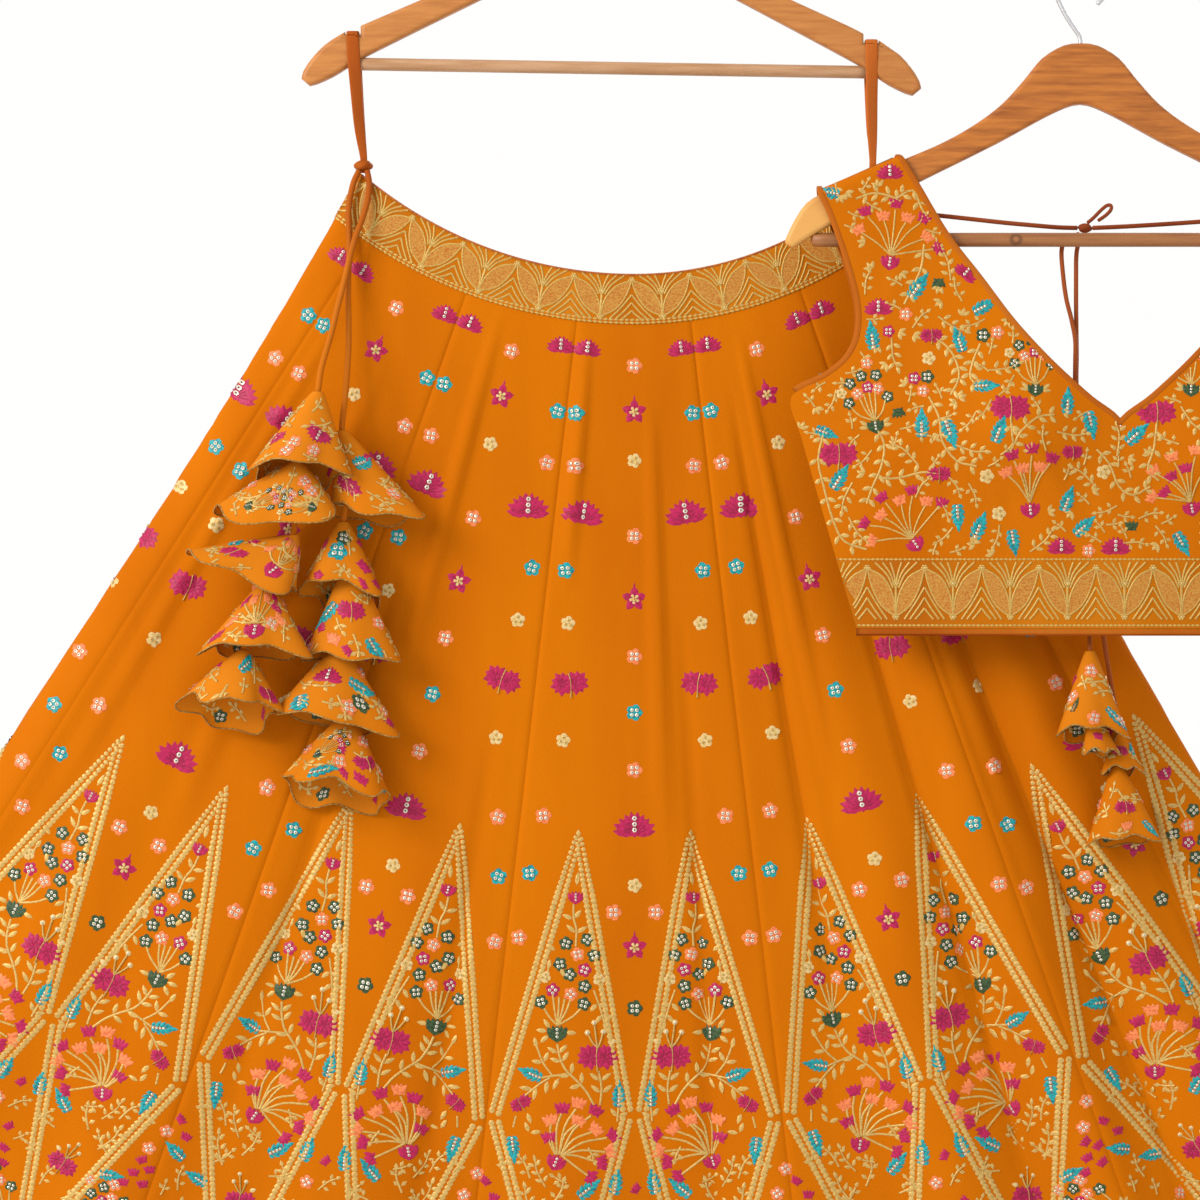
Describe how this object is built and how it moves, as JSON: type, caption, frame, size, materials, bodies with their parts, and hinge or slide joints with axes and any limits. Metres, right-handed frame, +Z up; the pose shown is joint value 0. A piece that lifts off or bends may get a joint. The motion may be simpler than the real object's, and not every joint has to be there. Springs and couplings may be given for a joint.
{
  "type": "lehenga choli on two wooden hangers",
  "caption": "Flared gored skirt hung by tape loops from a wooden hanger, with a V-neck blouse on a second hanger in front, corded ties and cloth tassels.",
  "frame": {"origin": "inside of the crown of the skirt hanger's hook, where a rail or wall hook carries it", "axes": "+X across to the wearer's left as hung, seen to the right from the front; +Y towards the wall behind; +Z up"},
  "size_m": [1.4618, 0.168, 1.3892],
  "materials": {
    "cloth": "mustard orange crepe with a soft sheen, embroidered",
    "band_cloth": "orange cloth covered in gold thread",
    "tassel_cloth": "embroidered orange cloth cones with raw gold edges",
    "piping": "plain orange bias binding",
    "tape": "brown orange satin tape",
    "cord": "rolled cloth cord",
    "wood_pale": "pale varnished wood",
    "wood_brown": "warm brown varnished wood with knots",
    "wood_bar": "pale unvarnished wood",
    "wire": "grey plated wire"
  },
  "bodies": {
    "root": {"skirt_kali_01": "cloth", "skirt_kali_02": "cloth", "skirt_kali_03": "cloth", "skirt_kali_04": "cloth", "skirt_kali_05": "cloth", "skirt_kali_06": "cloth", "skirt_kali_07": "cloth", "skirt_kali_08": "cloth", "skirt_kali_09": "cloth", "skirt_kali_10": "cloth", "waistband_front": "band_cloth", "waistband_back": "band_cloth", "loop_left": "tape", "loop_right": "tape", "dori_knot": "cord", "dori_a": "cord", "dori_b": "cord", "latkan_a1": "tassel_cloth", "latkan_a2": "tassel_cloth", "latkan_a3": "tassel_cloth", "latkan_a4": "tassel_cloth", "latkan_a5": "tassel_cloth", "latkan_b1": "tassel_cloth", "latkan_b2": "tassel_cloth", "latkan_b3": "tassel_cloth", "latkan_b4": "tassel_cloth", "latkan_b5": "tassel_cloth", "choli_latkan_a1": "tassel_cloth", "choli_latkan_a2": "tassel_cloth", "choli_latkan_b1": "tassel_cloth", "choli_latkan_b2": "tassel_cloth", "choli_front": "cloth", "choli_band_front": "band_cloth", "choli_back_left": "cloth", "choli_band_back_left": "band_cloth", "choli_back_right": "cloth", "choli_band_back_right": "band_cloth", "choli_piping_armhole_left": "piping", "choli_piping_armhole_right": "piping", "choli_piping_neck": "piping", "choli_piping_hem_front": "piping", "choli_piping_hem_back_left": "piping", "choli_piping_hem_back_right": "piping", "choli_tie_left": "cord", "choli_tie_right": "cord", "choli_tie_knot": "cord", "choli_tie_bow": "cord", "choli_tie_end_a": "cord", "choli_tie_end_b": "cord", "hanger_skirt_arms": "wood_pale", "hanger_skirt_bar": "wood_bar", "hanger_skirt_hook": "wire", "hanger_choli_arms": "wood_brown", "hanger_choli_bar": "wood_bar", "hanger_choli_hook": "wire"}
  },
  "joints": []
}
